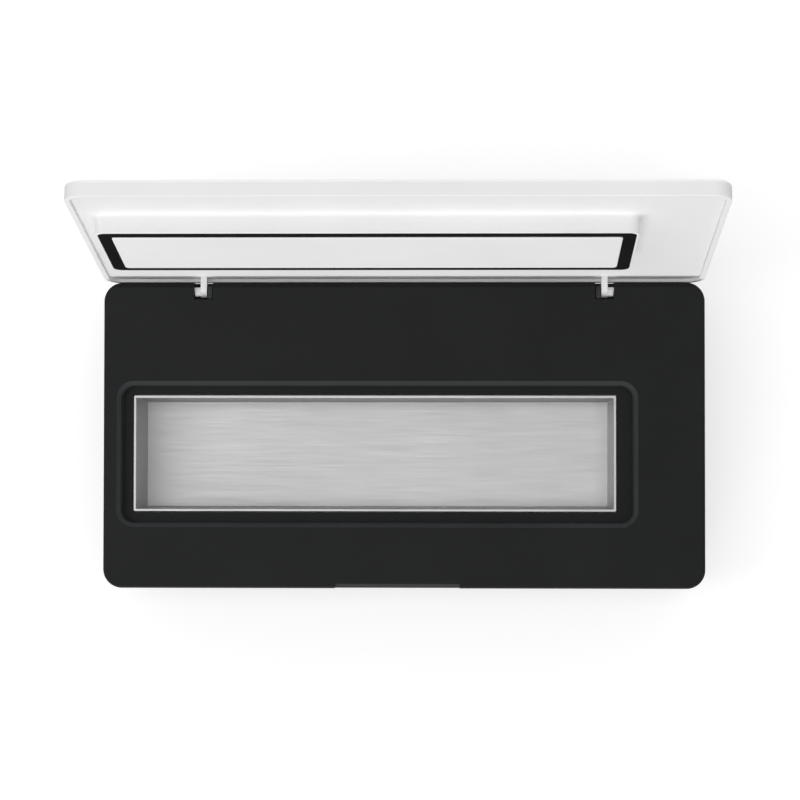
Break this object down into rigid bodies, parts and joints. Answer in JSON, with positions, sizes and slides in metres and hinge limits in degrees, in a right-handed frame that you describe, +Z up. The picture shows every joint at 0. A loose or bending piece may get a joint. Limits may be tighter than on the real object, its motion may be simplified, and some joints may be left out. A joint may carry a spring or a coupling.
{
  "type": "insulin cooling case",
  "caption": "Flat rectangular cooling case with a hinged sealing lid over a long metal-lined well for injection pens, cooled by a thermoelectric module and fan.",
  "frame": {"origin": "middle of the base's footprint, on the plane that the feet stand on", "axes": "+X right along the case, +Y back towards the hinge, +Z up"},
  "size_m": [0.236, 0.1489, 0.1668],
  "materials": {
    "housing_black": "fine moulded texture, satin black",
    "lid_white": "smooth moulded white",
    "hinge_grey": "moulded dark grey",
    "button_grey": "moulded dark grey",
    "gasket_rubber": "matt black silicone",
    "foot_rubber": "matt black rubber",
    "liner_aluminium": "bare drawn aluminium, fine grain",
    "cooling_aluminium": "extruded and blasted aluminium",
    "screw_steel": "zinc plated steel",
    "nickel": "bright nickel plating",
    "foam": "closed-cell white foam",
    "ceramic": "white alumina",
    "circuit_board": "green solder mask",
    "cell_wrap": "blue heat-shrink sleeve on a metal can",
    "display_glass": "clear black window",
    "lead_sleeve": "red silicone sleeve"
  },
  "bodies": {
    "base": {"base_shell": "housing_black", "battery_cell_1": "cell_wrap", "battery_cell_2": "cell_wrap", "battery_cell_3": "cell_wrap", "battery_cell_4": "cell_wrap", "battery_contact_left": "nickel", "battery_contact_right": "nickel", "battery_holder": "housing_black", "battery_lead": "lead_sleeve", "case_screw_1": "screw_steel", "case_screw_2": "screw_steel", "case_screw_3": "screw_steel", "case_screw_4": "screw_steel", "charging_socket": "nickel", "clamp_screw_1": "screw_steel", "clamp_screw_2": "screw_steel", "cold_block": "cooling_aluminium", "control_board": "circuit_board", "control_board_screw_1": "screw_steel", "control_board_screw_2": "screw_steel", "deck_magnet_left": "nickel", "deck_magnet_right": "nickel", "display_board": "circuit_board", "display_board_screw_1": "screw_steel", "display_board_screw_2": "screw_steel", "display_module": "display_glass", "display_window": "display_glass", "exhaust_grille": "housing_black", "fan_frame": "housing_black", "fan_lead": "lead_sleeve", "fan_screw_1": "screw_steel", "fan_screw_2": "screw_steel", "fan_screw_3": "screw_steel", "fan_screw_4": "screw_steel", "foot_1": "foot_rubber", "foot_2": "foot_rubber", "foot_3": "foot_rubber", "foot_4": "foot_rubber", "heatsink": "cooling_aluminium", "hinge_retainer_left": "hinge_grey", "hinge_retainer_right": "hinge_grey", "intake_grille": "housing_black", "peltier_lead": "lead_sleeve", "peltier_module": "ceramic", "temperature_sensor": "display_glass", "top_deck": "housing_black", "well_insulation": "foam", "well_liner": "liner_aluminium"},
    "button_1": {"button_1": "button_grey"},
    "button_2": {"button_2": "button_grey"},
    "button_3": {"button_3": "button_grey"},
    "fan": {"fan_rotor": "housing_black"},
    "lid": {"lid_centre_panel": "lid_white", "lid_gasket": "gasket_rubber", "lid_inner": "lid_white", "lid_insulation": "foam", "lid_magnet_left": "nickel", "lid_magnet_right": "nickel", "lid_shell": "lid_white"}
  },
  "joints": [
    {"name": "lid_hinge", "type": "hinge", "parent": "base", "child": "lid", "pos_m": [0, 0.057, 0.0525], "axis": [1, 0, 0], "range_deg": [0, 100.5]},
    {"name": "fan_spin", "type": "hinge", "parent": "base", "child": "fan", "pos_m": [-0.0116, 0.0508, 0.0285], "axis": [0, 1, 0], "continuous": true},
    {"name": "button_1_press", "type": "slide", "parent": "base", "child": "button_1", "axis": [0, 1, 0], "range_m": [0, 0.0006], "stiffness_N_per_m": 800, "springref_m": -0.0005},
    {"name": "button_2_press", "type": "slide", "parent": "base", "child": "button_2", "axis": [0, 1, 0], "range_m": [0, 0.0006], "stiffness_N_per_m": 800, "springref_m": -0.0005},
    {"name": "button_3_press", "type": "slide", "parent": "base", "child": "button_3", "axis": [0, 1, 0], "range_m": [0, 0.0006], "stiffness_N_per_m": 800, "springref_m": -0.0005}
  ]
}
